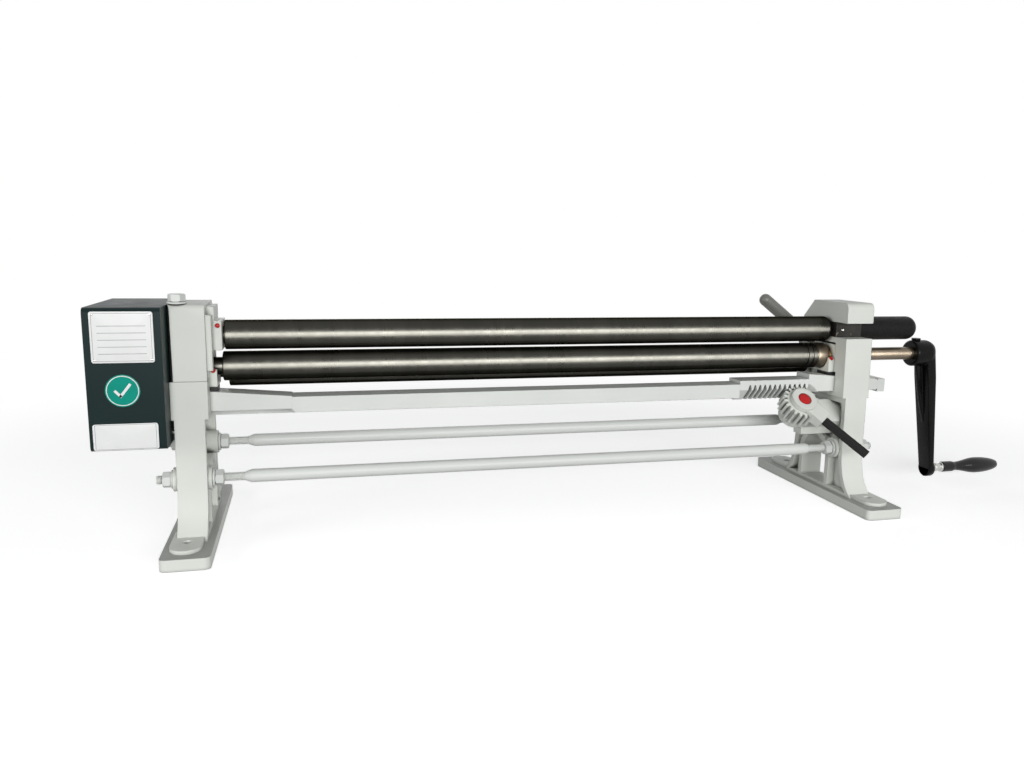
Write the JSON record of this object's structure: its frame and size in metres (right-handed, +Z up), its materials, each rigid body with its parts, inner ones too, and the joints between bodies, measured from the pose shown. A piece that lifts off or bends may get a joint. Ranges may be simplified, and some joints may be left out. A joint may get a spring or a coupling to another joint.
{
  "type": "slip roll machine",
  "caption": "Bench slip roll with three slim rolls between two cast frames, a hand crank, a toothed front lever, a rear lever and a swinging top roll.",
  "frame": {"origin": "centre of the four foot holes at the underside of the feet", "axes": "+X along the rolls towards the crank, +Y to the back, +Z up"},
  "size_m": [1.4345, 0.322, 0.332],
  "materials": {
    "casting_paint": "semi-gloss light grey-white paint on castings",
    "bar_paint": "semi-gloss light grey paint on bars and rods",
    "roll_steel": "dark ground steel with fine turning lines",
    "slip_block_steel": "oiled steel",
    "bright_steel": "machined steel",
    "bronze": "bearing bronze",
    "lever_paint": "mid-grey paint",
    "black_iron": "black painted iron",
    "black_plastic": "glossy black plastic",
    "cover_paint": "dark green-grey painted sheet steel",
    "plug_red": "red plastic"
  },
  "bodies": {
    "machine_frame": {"left_frame": "casting_paint", "right_frame": "casting_paint", "lower_tie_rod": "bar_paint", "upper_tie_rod": "bar_paint", "tie_rod_inner_nuts": "bar_paint", "tie_rod_outer_nuts": "bar_paint", "king_bolt": "bright_steel", "lever_stud": "bright_steel", "lever_cap": "plug_red", "rear_lever_stud": "bright_steel", "top_gear_stud": "bright_steel", "gear_bracket": "lever_paint", "gear_bracket_posts": "bright_steel", "cover_plate": "cover_paint", "gear_cover": "cover_paint", "cover_screws": "bright_steel"},
    "swivel_head": {"swivel_head": "casting_paint", "top_roll_bush": "bronze", "slip_block": "slip_block_steel", "slip_block_oiler": "bright_steel", "slip_handle": "black_plastic", "head_oil_plug": "plug_red"},
    "top_roll": {"top_roll": "roll_steel"},
    "lower_roll": {"lower_roll": "roll_steel", "lower_roll_gear": "bright_steel", "lower_gear_bolt": "bright_steel", "crank_arm": "black_iron", "crank_set_screw": "black_iron", "grip_spindle": "bright_steel", "grip_ferrule": "bright_steel"},
    "crank_grip": {"crank_grip": "black_plastic"},
    "lower_carriage": {"lower_block_left": "casting_paint", "lower_block_right": "casting_paint", "lower_bushes": "bronze", "block_shoes": "black_iron", "oil_plugs": "plug_red"},
    "front_lever": {"lever_gear": "casting_paint", "lever_rod": "black_iron"},
    "front_bar": {"front_bar": "bar_paint", "left_wedge": "bar_paint", "right_wedge": "bar_paint", "bar_end_stop": "bar_paint", "front_rack": "bar_paint"},
    "top_gear": {"top_roll_gear": "bright_steel"},
    "rear_lever": {"rear_lever": "lever_paint"},
    "rear_bar": {"rear_bar": "bar_paint", "rear_rack": "bar_paint"},
    "rear_carriage": {"rear_block_left": "casting_paint", "rear_block_right": "casting_paint"},
    "rear_roll": {"rear_roll": "roll_steel"}
  },
  "joints": [
    {"name": "top_roll_swing", "type": "hinge", "parent": "machine_frame", "child": "swivel_head", "pos_m": [-0.505, -0.054, 0.275], "axis": [0, 0, -1], "range_deg": [0, 20]},
    {"name": "top_roll_turn", "type": "hinge", "parent": "swivel_head", "child": "top_roll", "pos_m": [0, -0.016, 0.275], "axis": [1, 0, 0], "continuous": true},
    {"name": "front_lever_turn", "type": "hinge", "parent": "machine_frame", "child": "front_lever", "pos_m": [0.4048, -0.0545, 0.1568], "axis": [0, -0.7071, 0.7071], "range_deg": [-56, 28]},
    {"name": "front_bar_slide", "type": "slide", "parent": "machine_frame", "child": "front_bar", "axis": [1, 0, 0], "range_m": [-0.01343, 0.02687]},
    {"name": "lower_carriage_lift", "type": "slide", "parent": "machine_frame", "child": "lower_carriage", "axis": [0, 0, 1], "range_m": [-0.00116, 0.0023]},
    {"name": "crank_turn", "type": "hinge", "parent": "lower_carriage", "child": "lower_roll", "pos_m": [0, -0.016, 0.2325], "axis": [1, 0, 0], "continuous": true},
    {"name": "grip_spin", "type": "hinge", "parent": "lower_roll", "child": "crank_grip", "pos_m": [0.78, -0.016, 0.0325], "axis": [1, 0, 0], "continuous": true},
    {"name": "top_gear_turn", "type": "hinge", "parent": "machine_frame", "child": "top_gear", "pos_m": [-0.55, -0.016, 0.275], "axis": [1, 0, 0], "continuous": true},
    {"name": "rear_lever_turn", "type": "hinge", "parent": "machine_frame", "child": "rear_lever", "pos_m": [0.494, 0.0645, 0.2495], "axis": [0, 1, 0], "range_deg": [0, 47.5]},
    {"name": "rear_bar_slide", "type": "slide", "parent": "machine_frame", "child": "rear_bar", "axis": [1, 0, 0], "range_m": [-0.0499, 0]},
    {"name": "rear_carriage_lift", "type": "slide", "parent": "machine_frame", "child": "rear_carriage", "axis": [0, 0, 1], "range_m": [0, 0.02295]},
    {"name": "rear_roll_turn", "type": "hinge", "parent": "rear_carriage", "child": "rear_roll", "pos_m": [0, 0.028, 0.218], "axis": [1, 0, 0], "continuous": true}
  ],
  "couplings": [
    {"joint": "front_lever_turn", "follows": "front_bar_slide", "rad_per_m": -36.364},
    {"joint": "lower_carriage_lift", "follows": "front_bar_slide", "ratio": 0.08333},
    {"joint": "top_roll_turn", "follows": "crank_turn", "ratio": -1},
    {"joint": "top_gear_turn", "follows": "crank_turn", "ratio": -1},
    {"joint": "rear_bar_slide", "follows": "rear_lever_turn", "m_per_rad": -0.06},
    {"joint": "rear_carriage_lift", "follows": "rear_lever_turn", "m_per_rad": 0.0276}
  ]
}
